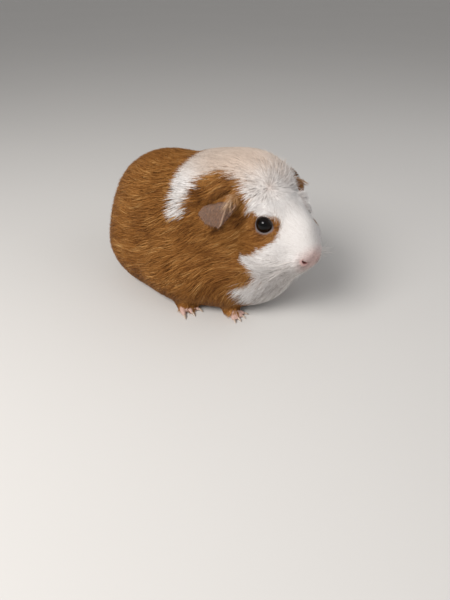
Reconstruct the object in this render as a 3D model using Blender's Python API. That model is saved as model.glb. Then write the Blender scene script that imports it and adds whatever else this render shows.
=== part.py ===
"""A life-size guinea pig, plump and crouched, with its head turned a little to its right.

The animal faces -Y, its right side is -X, and it rests on the plane z = 0. Named ellipsoid
masses are melted into one body, whose surface is the outside of the coat. Thin cuts then part
the body into head, neck, trunk and legs. Ears, eyes, feet and claws are shapes of their own.
"""

import math

import bmesh
import bpy
from mathutils import Euler, Matrix, Vector

# Driving dimensions, in metres and degrees.
GAP = 0.0003  # kept between neighbouring pieces
BLOCK = 0.6  # side of a cutting block, larger than the animal

VOXEL = 0.0022  # grain of the melted body
TRUNK_SMOOTHING = 170  # rounds
HEAD_SMOOTHING = 20
BODY_TRIANGLES = 2550
FOOT_TRIANGLES = 260
CUTTER_SEGMENTS = 14

HEAD_PIVOT = Vector((-0.0025, -0.0654, 0.085))  # centre of the braincase
HEAD_PITCH = -1  # nose down is positive
HEAD_TURN = -14  # towards the animal's left is positive

EYE_RADIUS = 0.0069
EYE_CENTRE = Vector((0.0172, -0.0275, 0.0062))  # left eye, in the head's frame
EYE_SEGMENTS = 16

EAR_THICKNESS = 0.0014
EAR_FOLD = 0.65  # share of the width behind the fold
EAR_BULGE = 0.0011  # of the part behind the fold
EAR_STEP = 0.0009  # how far the part before the fold lies lower
# Left ear in the head's frame: stations from behind to the front, and the root and the free edge
# at each of them.
EAR_STATIONS = [0, 0.25, 0.45, 0.65, 0.84, 1]
EAR_ROOT = [
    (0.0470, 0.0102, 0.0120),
    (0.0423, 0.0038, 0.0182),
    (0.0382, -0.0026, 0.0218),
    (0.0342, -0.0084, 0.0234),
    (0.0322, -0.0110, 0.0232),
    (0.0308, -0.0129, 0.0222),
]
EAR_EDGE = [
    (0.0489, 0.0110, 0.0076),
    (0.0468, 0.0034, 0.0016),
    (0.0437, -0.0022, 0.0006),
    (0.0412, -0.0062, 0.0002),
    (0.0375, -0.0111, 0.0088),
    (0.0332, -0.0142, 0.0156),
]
# Shares of the way from root to edge, and the ear's height over the coat there.
EAR_DOWN = [0, 0.06, 0.2, 0.45, 1]
EAR_HEIGHT = [-0.0025, 0.0004, 0.0024, 0.0030, 0.0034]

NECK_BACK = Vector((0, -0.036, 0.100))  # a point of the cut between neck and trunk
NECK_SLOPE = Vector((0, 0.87, -0.50))  # and the way it faces

SIDES = {"right": -1, "left": 1}

# Masses of the trunk: centre, radii and pitch in degrees. A paired one stands on both sides.
TRUNK_MASSES = [
    {"centre": (0, 0.030, 0.056), "radii": (0.055, 0.061, 0.056)},  # rump
    {"centre": (0, 0.000, 0.055), "radii": (0.060, 0.066, 0.058)},  # belly
    {"centre": (0, -0.026, 0.064), "radii": (0.055, 0.056, 0.060)},  # ribs
    {"centre": (0, -0.050, 0.088), "radii": (0.043, 0.044, 0.042), "pitch": 8},  # nape
    {"centre": (0, -0.064, 0.042), "radii": (0.044, 0.037, 0.042)},  # chest
    {"centre": (0.034, 0.030, 0.034), "radii": (0.032, 0.050, 0.040), "paired": True},  # haunch
    {"centre": (0.018, 0.046, 0.042), "radii": (0.036, 0.043, 0.043), "paired": True},  # seat
    {"centre": (0.034, -0.008, 0.030), "radii": (0.035, 0.054, 0.034), "paired": True},  # flank
    {"centre": (0.026, -0.042, 0.037), "radii": (0.027, 0.042, 0.039), "paired": True},  # shoulder
]

# Masses of the head in its own frame, whose origin is the braincase and whose -Y is the nose.
HEAD_MASSES = [
    {"centre": (0, 0.006, 0.001), "radii": (0.0305, 0.034, 0.029)},  # braincase
    {"centre": (0, -0.018, 0.002), "radii": (0.0258, 0.026, 0.0235)},  # brow
    {"centre": (0, -0.035, -0.001), "radii": (0.0165, 0.024, 0.0195), "pitch": 14},  # nose bridge
    {"centre": (0, -0.050, -0.009), "radii": (0.0135, 0.0115, 0.0150)},  # nose
    {"centre": (0.0070, -0.046, -0.016), "radii": (0.012, 0.013, 0.012), "paired": True},  # lip
    {"centre": (0.0142, -0.022, -0.014), "radii": (0.019, 0.028, 0.022), "paired": True},  # cheek
    {"centre": (0, -0.038, -0.025), "radii": (0.015, 0.018, 0.011)},  # chin
    {"centre": (0, -0.012, -0.030), "radii": (0.030, 0.035, 0.026)},  # throat
]

# Egg-shaped volumes that part the head and the legs from the rest.
HEAD_VOLUME = {"centre": (0, -0.022, 0.010), "radii": (0.047, 0.047, 0.046)}  # head's frame
LEG_VOLUMES = {
    "front_leg": {"centre": (0.031, -0.055, 0.022), "radii": (0.026, 0.032, 0.036)},
    "hind_leg": {"centre": (0.044, 0.026, 0.026), "radii": (0.027, 0.046, 0.038)},
}

FEET = {
    "front": {
        "place": (0.030, -0.060, 0.0),
        "turn": 6,
        "sole": (0.0062, 0.0100, 0.0052),
        "toe_angles": (-30, -10, 10, 28),
        "toe_reach": 0.0125,
        "toe_radius": 0.0022,
        "claw_length": 0.0050,
    },
    "hind": {
        "place": (0.046, -0.014, 0.0),
        "turn": 16,
        "sole": (0.0070, 0.0200, 0.0062),
        "toe_angles": (-17, 0, 17),
        "toe_reach": 0.0240,
        "toe_radius": 0.0027,
        "claw_length": 0.0062,
    },
}
TOE_VOXEL = 0.0007
TOE_SMOOTHING = 6
CLAW_RINGS = 4
CLAW_SIDES = 6
CLAW_TIP = 0.0002  # radius of the point

# Colour and roughness of each material.
FINISHES = {
    "ginger_coat": ((0.42, 0.19, 0.06, 1), 0.75),
    "white_coat": ((0.83, 0.79, 0.75, 1), 0.75),
    "bare_skin": ((0.42, 0.29, 0.25, 1), 0.60),
    "eye": ((0.012, 0.010, 0.010, 1), 0.08),
    "claw": ((0.55, 0.45, 0.38, 1), 0.40),
}


# Objects and materials.


def clear_scene():
    for item in list(bpy.data.objects):
        bpy.data.objects.remove(item, do_unlink=True)


def make_materials():
    made = {}
    for name, (colour, roughness) in FINISHES.items():
        material = bpy.data.materials.new(name)
        material.use_nodes = True
        shader = material.node_tree.nodes["Principled BSDF"]
        shader.inputs["Base Color"].default_value = colour
        shader.inputs["Roughness"].default_value = roughness
        shader.inputs["Metallic"].default_value = 0.0
        made[name] = material
    return made


def mesh_object(name, bm, material=None):
    mesh = bpy.data.meshes.new(name)
    bm.to_mesh(mesh)
    bm.free()
    made = bpy.data.objects.new(name, mesh)
    if material:
        mesh.materials.append(material)
    bpy.context.scene.collection.objects.link(made)
    return made


def copy_object(item, name):
    made = item.copy()
    made.data = item.data.copy()
    made.name = name
    bpy.context.scene.collection.objects.link(made)
    return made


def edit_mesh(item, change):
    """Runs a bmesh edit on the object's mesh."""
    bm = bmesh.new()
    bm.from_mesh(item.data)
    change(bm)
    bm.to_mesh(item.data)
    bm.free()


def apply_modifiers(item):
    graph = bpy.context.evaluated_depsgraph_get()
    mesh = bpy.data.meshes.new_from_object(item.evaluated_get(graph))
    item.modifiers.clear()
    item.data = mesh


# Shapes.


def head_frame():
    turn = Euler((math.radians(HEAD_PITCH), 0, math.radians(HEAD_TURN)), "XYZ")
    return Matrix.Translation(HEAD_PIVOT) @ turn.to_matrix().to_4x4()


def egg_place(centre, radii, pitch=0.0, yaw=0.0):
    return (
        Matrix.Translation(centre)
        @ Matrix.Rotation(math.radians(yaw), 4, "Z")
        @ Matrix.Rotation(math.radians(pitch), 4, "X")
        @ Matrix.Diagonal((*radii, 1))
    )


def add_egg(bm, place, segments=32):
    rings = segments * 5 // 8
    bmesh.ops.create_uvsphere(bm, u_segments=segments, v_segments=rings, radius=1.0, matrix=place)


def egg_object(name, place, segments, material=None):
    bm = bmesh.new()
    add_egg(bm, place, segments)
    return mesh_object(name, bm, material)


def add_masses(bm, masses, frame):
    for mass in masses:
        for side in (-1, 1) if mass.get("paired") else (1,):
            x, y, z = mass["centre"]
            place = egg_place((side * x, y, z), mass["radii"], mass.get("pitch", 0))
            add_egg(bm, frame @ place)


def ramp(value, low, high):
    share = min(1.0, max(0.0, (value - low) / (high - low)))
    return share * share * (3 - 2 * share)


def melt(item, voxel, softenings):
    """Runs overlapping masses into one skin. Each softening is a vertex weight and its rounds."""
    remesh = item.modifiers.new("melt", "REMESH")
    remesh.mode = "VOXEL"
    remesh.voxel_size = voxel
    apply_modifiers(item)
    for weight, rounds in softenings:
        group = item.vertex_groups.new(name="soft")
        for vertex in item.data.vertices:
            group.add([vertex.index], weight(vertex.co), "REPLACE")
        smooth = item.modifiers.new("soften", "SMOOTH")
        smooth.factor = 0.5
        smooth.iterations = rounds
        smooth.vertex_group = group.name
        apply_modifiers(item)
        item.vertex_groups.clear()


def thin_out(item, triangles):
    thin = item.modifiers.new("thin", "DECIMATE")
    present = sum(len(face.vertices) - 2 for face in item.data.polygons)
    thin.ratio = min(1.0, triangles / present)
    apply_modifiers(item)


# Cuts.


def combine(item, other, operation):
    boolean = item.modifiers.new("combine", "BOOLEAN")
    boolean.operation = operation
    boolean.object = other
    boolean.solver = "EXACT"
    apply_modifiers(item)


def keep_side(item, point, normal):
    """Cuts the object by a plane and keeps what the normal points at."""
    normal = Vector(normal).normalized()
    turn = Vector((0, 0, 1)).rotation_difference(normal).to_matrix().to_4x4()
    middle = Vector(point) + normal * (BLOCK / 2)
    bm = bmesh.new()
    bmesh.ops.create_cube(bm, size=BLOCK, matrix=Matrix.Translation(middle) @ turn)
    block = mesh_object("block", bm)
    combine(item, block, "INTERSECT")
    bpy.data.objects.remove(block)


def part_off(source, name, place, radii):
    """Takes an egg-shaped piece out of the source, leaving the gap between the two."""
    grown = [radius + GAP for radius in radii]
    inner = egg_object("inner", place @ Matrix.Diagonal((*radii, 1)), CUTTER_SEGMENTS)
    outer = egg_object("outer", place @ Matrix.Diagonal((*grown, 1)), CUTTER_SEGMENTS)
    piece = copy_object(source, name)
    combine(piece, inner, "INTERSECT")
    combine(source, outer, "DIFFERENCE")
    bpy.data.objects.remove(inner)
    bpy.data.objects.remove(outer)
    return piece


def swollen(item, name, by):
    """A copy whose surface stands out by a given distance."""
    made = copy_object(item, name)
    displace = made.modifiers.new("swell", "DISPLACE")
    displace.mid_level = 0.0
    displace.strength = by
    apply_modifiers(made)
    return made


def islands_of(bm):
    left = set(bm.verts)
    islands = []
    while left:
        island = [left.pop()]
        for vertex in island:
            for edge in vertex.link_edges:
                other = edge.other_vert(vertex)
                if other in left:
                    left.remove(other)
                    island.append(other)
        islands.append(island)
    return sorted(islands, key=len)


def keep_largest(item):
    """Drops the small crumbs that a cut leaves beside the piece."""

    def drop_crumbs(bm):
        crumbs = [vertex for island in islands_of(bm)[:-1] for vertex in island]
        bmesh.ops.delete(bm, geom=crumbs, context="VERTS")

    edit_mesh(item, drop_crumbs)


# The body, and what is cut from it.


def make_body():
    bm = bmesh.new()
    add_masses(bm, TRUNK_MASSES, Matrix.Identity(4))
    add_masses(bm, HEAD_MASSES, head_frame())
    body = mesh_object("body", bm)
    into_head = head_frame().inverted()

    def trunk_weight(point):
        """0 on the face, 1 behind the ears and under the jaw."""
        place = into_head @ point
        return max(ramp(place.y, -0.010, 0.030), ramp(-place.z, 0.022, 0.040))

    def head_weight(point):
        return 1.0 - 0.8 * trunk_weight(point)

    melt(body, VOXEL, [(trunk_weight, TRUNK_SMOOTHING), (head_weight, HEAD_SMOOTHING)])
    thin_out(body, BODY_TRIANGLES)
    keep_side(body, (0, 0, 0), (0, 0, 1))
    return body


def cut_body(body, materials):
    """Parts the body into head, neck, legs and trunk, and gives back the head."""
    head_place = head_frame() @ Matrix.Translation(HEAD_VOLUME["centre"])
    head = part_off(body, "head", head_place, HEAD_VOLUME["radii"])
    slope = NECK_SLOPE.normalized()
    neck = copy_object(body, "neck")
    keep_side(neck, NECK_BACK - slope * (GAP / 2), -slope)
    keep_largest(neck)
    trunk = body
    trunk.name = "trunk"
    keep_side(trunk, NECK_BACK + slope * (GAP / 2), slope)
    keep_largest(trunk)
    trunk.data.materials.append(materials["ginger_coat"])
    for piece in (head, neck):
        piece.data.materials.append(materials["white_coat"])
    for leg, volume in LEG_VOLUMES.items():
        for name, side in SIDES.items():
            x, y, z = volume["centre"]
            part_off(trunk, f"{leg}_{name}", Matrix.Translation((side * x, y, z)), volume["radii"])
    return head


def make_eyes(head, materials):
    for name, side in SIDES.items():
        centre = head_frame() @ Vector((side * EYE_CENTRE.x, EYE_CENTRE.y, EYE_CENTRE.z))
        hole = egg_place(centre, (EYE_RADIUS + GAP,) * 3)
        socket = egg_object("socket", hole, EYE_SEGMENTS)
        combine(head, socket, "DIFFERENCE")
        bpy.data.objects.remove(socket)
        ball = egg_place(centre, (EYE_RADIUS,) * 3)
        egg_object("eye_" + name, ball, EYE_SEGMENTS, materials["eye"])


# Ears.


def read_between(stations, values, share):
    """The value at a share of a row of values given at rising stations."""
    first = max(i for i, station in enumerate(stations[:-1]) if station <= share)
    part = (share - stations[first]) / (stations[first + 1] - stations[first])
    return values[first] + (values[first + 1] - values[first]) * part


def ear_point(down, across):
    """A point of the left ear in the head's frame, before it is laid over the coat."""
    root = read_between(EAR_STATIONS, [Vector(point) for point in EAR_ROOT], across)
    edge = read_between(EAR_STATIONS, [Vector(point) for point in EAR_EDGE], across)
    return root.lerp(edge, down)


def ear_height(down, across):
    """How high the ear's middle surface stands over the coat."""
    behind = min(across / EAR_FOLD, 1)
    ahead = max(0.0, across - EAR_FOLD) / (1 - EAR_FOLD)
    height = read_between(EAR_DOWN, EAR_HEIGHT, down)
    height += EAR_BULGE * math.sin(math.pi * behind) * math.sin(math.pi * 0.8 * down)
    return height - EAR_STEP * min(1, 4 * down) * min(1, 4 * ahead)


def make_ears(body, materials):
    """Petals rooted in the surface of the body, whose free part hangs clear of it."""
    for name, side in SIDES.items():
        bm = bmesh.new()
        bmesh.ops.create_grid(bm, x_segments=10, y_segments=12, size=0.5)
        for vertex in bm.verts:
            down = min(1, vertex.co.x + 0.5)
            across = min(1, vertex.co.y + 0.5)
            point = ear_point(down, across)
            point.x *= side
            near, normal = body.closest_point_on_mesh(head_frame() @ point)[1:3]
            vertex.co = near + normal * ear_height(down, across)
        ear = mesh_object("ear_" + name, bm, materials["bare_skin"])
        soften = ear.modifiers.new("soften", "SMOOTH")
        soften.iterations = 2
        wall = ear.modifiers.new("wall", "SOLIDIFY")
        wall.thickness = EAR_THICKNESS
        wall.offset = 0.0
        apply_modifiers(ear)
        edit_mesh(ear, lambda bm: bmesh.ops.recalc_face_normals(bm, faces=bm.faces))
        combine(ear, body, "DIFFERENCE")
        keep_largest(ear)


# Feet and claws.


def toe_directions(foot, side):
    turns = [math.radians(side * angle) for angle in foot["toe_angles"]]
    return [(turn, Vector((math.sin(turn), -math.cos(turn), 0))) for turn in turns]


def make_foot(name, foot, side, frame, solid_body, material):
    width, length, height = foot["sole"]
    thick = foot["toe_radius"]
    toe_length = foot["toe_reach"] * 0.40
    bm = bmesh.new()
    add_egg(bm, frame @ egg_place((0, 0, height * 0.8), (width, length, height)), 20)
    for turn, ahead in toe_directions(foot, side):
        middle = ahead * (foot["toe_reach"] * 0.72) + Vector((0, 0, thick * 0.9))
        toe = egg_place(middle, (thick, toe_length, thick), 8, math.degrees(turn))
        add_egg(bm, frame @ toe, 14)
    made = mesh_object(name, bm)
    melt(made, TOE_VOXEL, [(lambda point: 1.0, TOE_SMOOTHING)])
    thin_out(made, FOOT_TRIANGLES)
    keep_side(made, (0, 0, 0), (0, 0, 1))
    combine(made, solid_body, "DIFFERENCE")
    keep_largest(made)
    made.data.materials.clear()
    made.data.materials.append(material)
    return made


def make_claw(name, foot, ahead, frame, material):
    """A pointed horn that leaves the toe's end, arches a little and comes down to the floor."""
    root_radius = foot["toe_radius"] * 0.42
    start = foot["toe_reach"] - 0.0012
    upright = Vector((0, 0, 1)).rotation_difference(ahead).to_matrix().to_4x4()
    bm = bmesh.new()
    rings = []
    for number in range(CLAW_RINGS):
        share = number / (CLAW_RINGS - 1)
        radius = root_radius * (1 - share) ** 0.6 + CLAW_TIP
        rise = 0.0018 + 0.0006 * math.sin(math.pi * share) - 0.0009 * share
        centre = ahead * (start + foot["claw_length"] * share) + Vector((0, 0, rise))
        place = frame @ Matrix.Translation(centre) @ upright
        ring = bmesh.ops.create_circle(bm, segments=CLAW_SIDES, radius=radius, matrix=place)
        rings.append(ring["verts"])
    for ring in (rings[0], rings[-1]):
        bm.faces.new(ring)
    bmesh.ops.bridge_loops(bm, edges=bm.edges[:])
    bmesh.ops.recalc_face_normals(bm, faces=bm.faces)
    return mesh_object(name, bm, material)


def make_feet(solid_body, materials):
    for kind, foot in FEET.items():
        for name, side in SIDES.items():
            x, y, z = foot["place"]
            frame = Matrix.Translation((side * x, y, z))
            frame = frame @ Matrix.Rotation(math.radians(side * foot["turn"]), 4, "Z")
            foot_name = f"{kind}_foot_{name}"
            made = make_foot(foot_name, foot, side, frame, solid_body, materials["bare_skin"])
            block = swollen(made, "block", GAP)
            for number, (_, ahead) in enumerate(toe_directions(foot, side), 1):
                claw_name = f"claw_{kind}_{name}_{number}"
                claw = make_claw(claw_name, foot, ahead, frame, materials["claw"])
                combine(claw, block, "DIFFERENCE")
                combine(claw, solid_body, "DIFFERENCE")
                keep_largest(claw)
            bpy.data.objects.remove(block)


# The whole animal.


def stand_on_origin():
    """Puts the middle of the whole animal's box over the origin, with its feet at z = 0."""
    points = [vertex.co for item in bpy.data.objects for vertex in item.data.vertices]
    low = Vector(min(point[axis] for point in points) for axis in range(3))
    high = Vector(max(point[axis] for point in points) for axis in range(3))
    shift = Matrix.Translation((-(low.x + high.x) / 2, -(low.y + high.y) / 2, -low.z))
    for item in bpy.data.objects:
        item.data.transform(shift)


def main():
    clear_scene()
    materials = make_materials()
    body = make_body()
    solid_body = swollen(body, "solid_body", GAP)
    head = cut_body(body, materials)
    make_eyes(head, materials)
    make_ears(solid_body, materials)
    make_feet(solid_body, materials)
    bpy.data.objects.remove(solid_body)
    stand_on_origin()


main()
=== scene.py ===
import math

import bmesh
import bpy
import numpy as np
from mathutils import Matrix, Vector
from mathutils.bvhtree import BVHTree
from mathutils.kdtree import KDTree


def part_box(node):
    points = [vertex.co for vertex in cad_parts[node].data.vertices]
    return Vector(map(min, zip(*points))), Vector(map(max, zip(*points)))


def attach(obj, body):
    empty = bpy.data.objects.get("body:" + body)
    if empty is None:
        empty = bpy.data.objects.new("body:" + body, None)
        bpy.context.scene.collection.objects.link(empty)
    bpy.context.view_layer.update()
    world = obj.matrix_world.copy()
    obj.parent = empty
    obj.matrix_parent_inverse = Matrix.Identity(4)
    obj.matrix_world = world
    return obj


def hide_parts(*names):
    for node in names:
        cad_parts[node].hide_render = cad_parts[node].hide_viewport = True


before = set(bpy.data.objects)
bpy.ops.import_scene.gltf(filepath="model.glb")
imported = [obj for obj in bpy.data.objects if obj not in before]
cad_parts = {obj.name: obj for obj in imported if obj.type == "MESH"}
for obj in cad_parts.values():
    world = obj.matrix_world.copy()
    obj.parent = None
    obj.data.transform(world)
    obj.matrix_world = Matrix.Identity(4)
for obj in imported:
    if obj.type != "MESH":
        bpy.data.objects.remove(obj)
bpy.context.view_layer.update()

mm = 0.001


# the head's own axes are found from the two eyes
headSizes = {
    "eyesAhead": 27.5 * mm,     # from the middle of the skull to the line of the eyes
    "eyesAbove": 6.2 * mm,
    "eyeRadius": 6.9 * mm,
}


def middleOf(node):
    low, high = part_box(node)
    return (low + high) / 2


eyeMiddles = {"right": middleOf("eye_right"), "left": middleOf("eye_left")}
headUp = Vector((0, 0, 1))
headSide = (eyeMiddles["left"] - eyeMiddles["right"]).normalized()
headBack = headUp.cross(headSide)
headPivot = ((eyeMiddles["left"] + eyeMiddles["right"]) / 2
             + headBack * headSizes["eyesAhead"] - headUp * headSizes["eyesAbove"])
headRows = np.array([headSide, headBack, headUp])
pivotRow = np.array(headPivot)


def toHead(points):
    # millimetres from the middle of the skull: x to its left, y backwards, z up
    return (np.asarray(points) - pivotRow) @ headRows.T / mm


def fromHead(points):
    return np.asarray(points) * mm @ headRows + pivotRow


def ramp(value, start, end):
    t = np.clip((value - start) / (end - start), 0, 1)
    return t * t * (3 - 2 * t)


def unit(rows):
    return rows / np.maximum(np.linalg.norm(rows, axis=-1, keepdims=True), 1e-12)


def dots(a, b):
    return np.sum(a * b, axis=-1)


def halfHead(points):
    # the head's millimetres, with its right side folded onto its left
    head = toHead(points)
    head[:, 0] = np.abs(head[:, 0])
    return head


def nearSpot(head, spot, size, start, end):
    # 1 at a spot on the head, falling to 0 around it
    return 1 - ramp(np.linalg.norm((head - np.array(spot)) / size, axis=1), start, end)


def spotTree(spots):
    tree = KDTree(len(spots))
    for index, spot in enumerate(spots.tolist()):
        tree.insert(spot, index)
    tree.balance()
    return tree


def nearestIn(tree, points):
    return np.array([tree.find(spot)[1] for spot in points.tolist()], int)


def newPiece(name, mesh):
    piece = bpy.data.objects.new(name, mesh)
    bpy.context.scene.collection.objects.link(piece)
    return piece


def readAll(items, name, width, kind=np.float32):
    found = np.empty(len(items) * width, kind)
    items.foreach_get(name, found)
    return found.reshape(-1, width)


def meshPoints(mesh):
    return readAll(mesh.vertices, "co", 3).astype(float)


def meshNormals(mesh):
    return readAll(mesh.vertex_normals, "vector", 3).astype(float)


def movePoints(mesh, points):
    mesh.vertices.foreach_set("co", points.astype(np.float32).ravel())
    mesh.update()


def edgeEnds(mesh):
    return readAll(mesh.edges, "vertices", 2, np.int32)


def relax(values, ends, rounds, share=0.5):
    # evens out a value over the mesh; rounds may differ from point to point
    count = len(values)
    flat = values.reshape(count, -1).copy()
    a, b = ends[:, 0], ends[:, 1]
    near = np.maximum(np.bincount(a, minlength=count) + np.bincount(b, minlength=count), 1)
    rounds = np.broadcast_to(np.asarray(rounds), (count,))
    for step in range(int(rounds.max())):
        pull = np.where(rounds > step, share, 0)
        for column in range(flat.shape[1]):
            row = flat[:, column]
            total = (np.bincount(a, row[b], minlength=count)
                     + np.bincount(b, row[a], minlength=count))
            flat[:, column] = row + pull * (total / near - row)
    return flat.reshape(values.shape)


def applyModifiers(piece):
    graph = bpy.context.evaluated_depsgraph_get()
    made = bpy.data.meshes.new_from_object(piece.evaluated_get(graph))
    piece.modifiers.clear()
    old = piece.data
    piece.data = made
    bpy.data.meshes.remove(old)


def meshOf(shell, name):
    mesh = bpy.data.meshes.new(name)
    shell.to_mesh(mesh)
    shell.free()
    return mesh


def mergedCopy(names, swell):
    # copies of CAD nodes with their loose triangles joined, a little fatter so that they meet
    joined = bmesh.new()
    for name in names:
        part = bmesh.new()
        part.from_mesh(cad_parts[name].data)
        bmesh.ops.remove_doubles(part, verts=part.verts, dist=1e-5)
        part.normal_update()
        for vertex in part.verts:
            vertex.co += vertex.normal * swell
        mesh = meshOf(part, "scratch")
        joined.from_mesh(mesh)
        bpy.data.meshes.remove(mesh)
    return joined


def treeOf(names):
    joined = mergedCopy(names, 0)
    tree = BVHTree.FromBMesh(joined)
    joined.free()
    return tree


def distances(tree, points, limit=0.05):
    found = [tree.find_nearest(point, limit)[3] for point in points.tolist()]
    return np.array([limit if gap is None else gap for gap in found])


earSizes = {
    # the left ear's root and free edge from behind to the front, in the head's millimetres
    "stations": [0, 0.25, 0.45, 0.65, 0.84, 1],
    "root": [(47.0, 10.2, 12.0), (42.3, 3.8, 18.2), (38.2, -2.6, 21.8), (34.2, -8.4, 23.4),
             (32.2, -11.0, 23.2), (30.8, -12.9, 22.2)],
    "edge": [(48.9, 11.0, 7.6), (46.8, 3.4, 1.6), (43.7, -2.2, 0.6), (41.2, -6.2, 0.2),
             (37.5, -11.1, 8.8), (33.2, -14.2, 15.6)],
    "hang": (0.26, 0.02, -0.96),      # from the root to the free edge
    "outward": (0.82, -0.48, 0.2),
    "fold": 0.65,                     # the front part turns in behind this share
    "bulge": 1.1,
    "rim": 0.7,
    "step": 1.4,
    "thickness": 1.1,
    "downs": [0, 0.06, 0.2, 0.45, 1],   # along the ear, and there its height over the coat
    "heights": [-2.5, 0.4, 2.2, 2.7, 3.2],
}
skinSizes = {
    "voxel": 0.85 * mm,
    "swell": 0.35 * mm,
    "bodyShare": 0.25,          # of the body's faces kept after thinning
    "floorGap": 0.1 * mm,
    "onEar": (1.1 * mm, 1.9 * mm),       # how near to an ear's leaf the skin counts as ear
    "offEar": (0.7 * mm, 1.6 * mm),      # gaps from the furred solids over which skin turns bare
    "offFoot": (0.9 * mm, 2.4 * mm),
    "feetBelow": 20 * mm,
    "earsAbove": 60 * mm,
    "noseReach": [0, 12, 30, 60, 90],     # from the nose, and there how often the skin is evened
    "rounds": [7, 9, 14, 22, 34],
    "thinReach": (50, 62),      # from the nose, where thinning sets in
}
bodyNodes = ["trunk", "neck", "head", "front_leg_right", "front_leg_left",
             "hind_leg_right", "hind_leg_left"]
footNodes = ["front_foot_right", "front_foot_left", "hind_foot_right", "hind_foot_left"]
earNodes = ["ear_right", "ear_left"]
eyeNodes = ["eye_right", "eye_left"]
bodyTree = treeOf(bodyNodes + eyeNodes)
noseTip = np.array([0.0, -61.0, -9.0])


def fromNose(points):
    return np.linalg.norm(toHead(points) - noseTip, axis=1)


def earLine(row, across):
    return np.array([np.interp(across, earSizes["stations"], axis)
                     for axis in np.array(earSizes[row]).T])


def earPoint(down, across):
    # a point of the left ear's middle surface; both shares run from 0 to 1
    root, edge = earLine("root", across), earLine("edge", across)
    return root + (edge - root) * down


def earHeight(down, across):
    fold = earSizes["fold"]
    behind = min(across / fold, 1)
    ahead = max(0, across - fold) / (1 - fold)
    free = min(1, down / 0.25)
    height = float(np.interp(down, earSizes["downs"], earSizes["heights"]))
    height += earSizes["bulge"] * math.sin(math.pi * behind) * math.sin(math.pi * 0.8 * down)
    height += earSizes["rim"] * free * math.exp(-((across - fold) / 0.04) ** 2)
    return (height - earSizes["step"] * free * min(1, ahead / 0.22)) * mm


def makeEarSheet(side):
    # a bent leaf rooted in the coat, whose free part hangs clear of the head
    leaf = bmesh.new()
    bmesh.ops.create_grid(leaf, x_segments=26, y_segments=36, size=0.5)
    for vertex in leaf.verts:
        down, across = vertex.co.x + 0.5, vertex.co.y + 0.5
        point = earPoint(down, across) * np.array([side, 1, 1])
        near, normal = bodyTree.find_nearest(Vector(fromHead(point)))[:2]
        vertex.co = near + normal * earHeight(down, across)
    piece = newPiece("earLeaf", meshOf(leaf, "earLeaf"))
    wall = piece.modifiers.new("wall", "SOLIDIFY")
    wall.thickness = earSizes["thickness"] * mm
    wall.offset = 0
    applyModifiers(piece)
    mesh = piece.data
    bpy.data.objects.remove(piece)
    return mesh


earLeaves = [makeEarSheet(side) for side in (-1, 1)]


def earShell():
    shell = bmesh.new()
    for mesh in earLeaves:
        shell.from_mesh(mesh)
    bmesh.ops.recalc_face_normals(shell, faces=shell.faces)
    return shell


earTree = BVHTree.FromBMesh(earShell())


def bareOf(points):
    # 1 on the ears and feet, which stand clear of the furred solids
    offBody = distances(bodyTree, points)
    onEar = 1 - ramp(distances(earTree, points), *skinSizes["onEar"])
    onFoot = points[:, 2] < skinSizes["feetBelow"]
    return np.maximum(ramp(offBody, *skinSizes["offFoot"]) * onFoot,
                      ramp(offBody, *skinSizes["offEar"]) * onEar)


def meltBody():
    shell = mergedCopy(bodyNodes + footNodes + eyeNodes, skinSizes["swell"])
    shell.from_mesh(meshOf(earShell(), "ears"))
    piece = newPiece("skin", meshOf(shell, "skin"))
    melt = piece.modifiers.new("melt", "REMESH")
    melt.mode = "VOXEL"
    melt.voxel_size = skinSizes["voxel"]
    applyModifiers(piece)
    print("skin melted:", len(piece.data.polygons), "faces")
    return piece


def evenBody(piece):
    points = meshPoints(piece.data)
    bare = bareOf(points)
    rounds = np.interp(fromNose(points), skinSizes["noseReach"], skinSizes["rounds"])
    bareRounds = np.where(points[:, 2] > skinSizes["earsAbove"], 6, 3)
    rounds = rounds * (1 - bare) + bareRounds * bare
    movePoints(piece.data, relax(points, edgeEnds(piece.data), np.rint(rounds)))


def thinBody(piece):
    # fewer faces where the coat hides them, all of them on the head, ears and feet
    points = meshPoints(piece.data)
    loose = ramp(fromNose(points), *skinSizes["thinReach"]) * (1 - bareOf(points))
    group = piece.vertex_groups.new(name="thin")
    levels = np.rint(loose * 4) / 4
    for level in np.unique(levels):
        group.add(np.flatnonzero(levels == level).tolist(), float(level), "REPLACE")
    thin = piece.modifiers.new("thin", "DECIMATE")
    thin.ratio = skinSizes["bodyShare"]
    thin.vertex_group = "thin"
    thin.vertex_group_factor = 20
    applyModifiers(piece)
    piece.vertex_groups.clear()
    print("skin thinned:", len(piece.data.polygons), "faces")


def refine(piece, wanted):
    # splits every face whose corners all lie where wanted() says
    mesh = piece.data
    chosen = wanted(meshPoints(mesh))
    shell = bmesh.new()
    shell.from_mesh(mesh)
    shell.verts.ensure_lookup_table()
    edges = [edge for edge in shell.edges
             if chosen[edge.verts[0].index] and chosen[edge.verts[1].index]]
    bmesh.ops.subdivide_edges(shell, edges=edges, cuts=1, use_grid_fill=True, smooth=0)
    shell.to_mesh(mesh)
    shell.free()


def nearFeatures(points, eyeReach, noseReach):
    close = np.linalg.norm(toHead(points) - noseTip - [0, 1, -5], axis=1) < noseReach
    for middle in eyeMiddles.values():
        close |= np.linalg.norm(points - np.array(middle), axis=1) < eyeReach * mm
    return close


skin = meltBody()
evenBody(skin)
thinBody(skin)
refine(skin, lambda points: nearFeatures(points, 12, 15) | (bareOf(points) > 0.3))
refine(skin, lambda points: nearFeatures(points, 10.5, 11))
print("skin refined:", len(skin.data.polygons), "faces",
      sum(len(face.vertices) - 2 for face in skin.data.polygons), "triangles")


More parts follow.
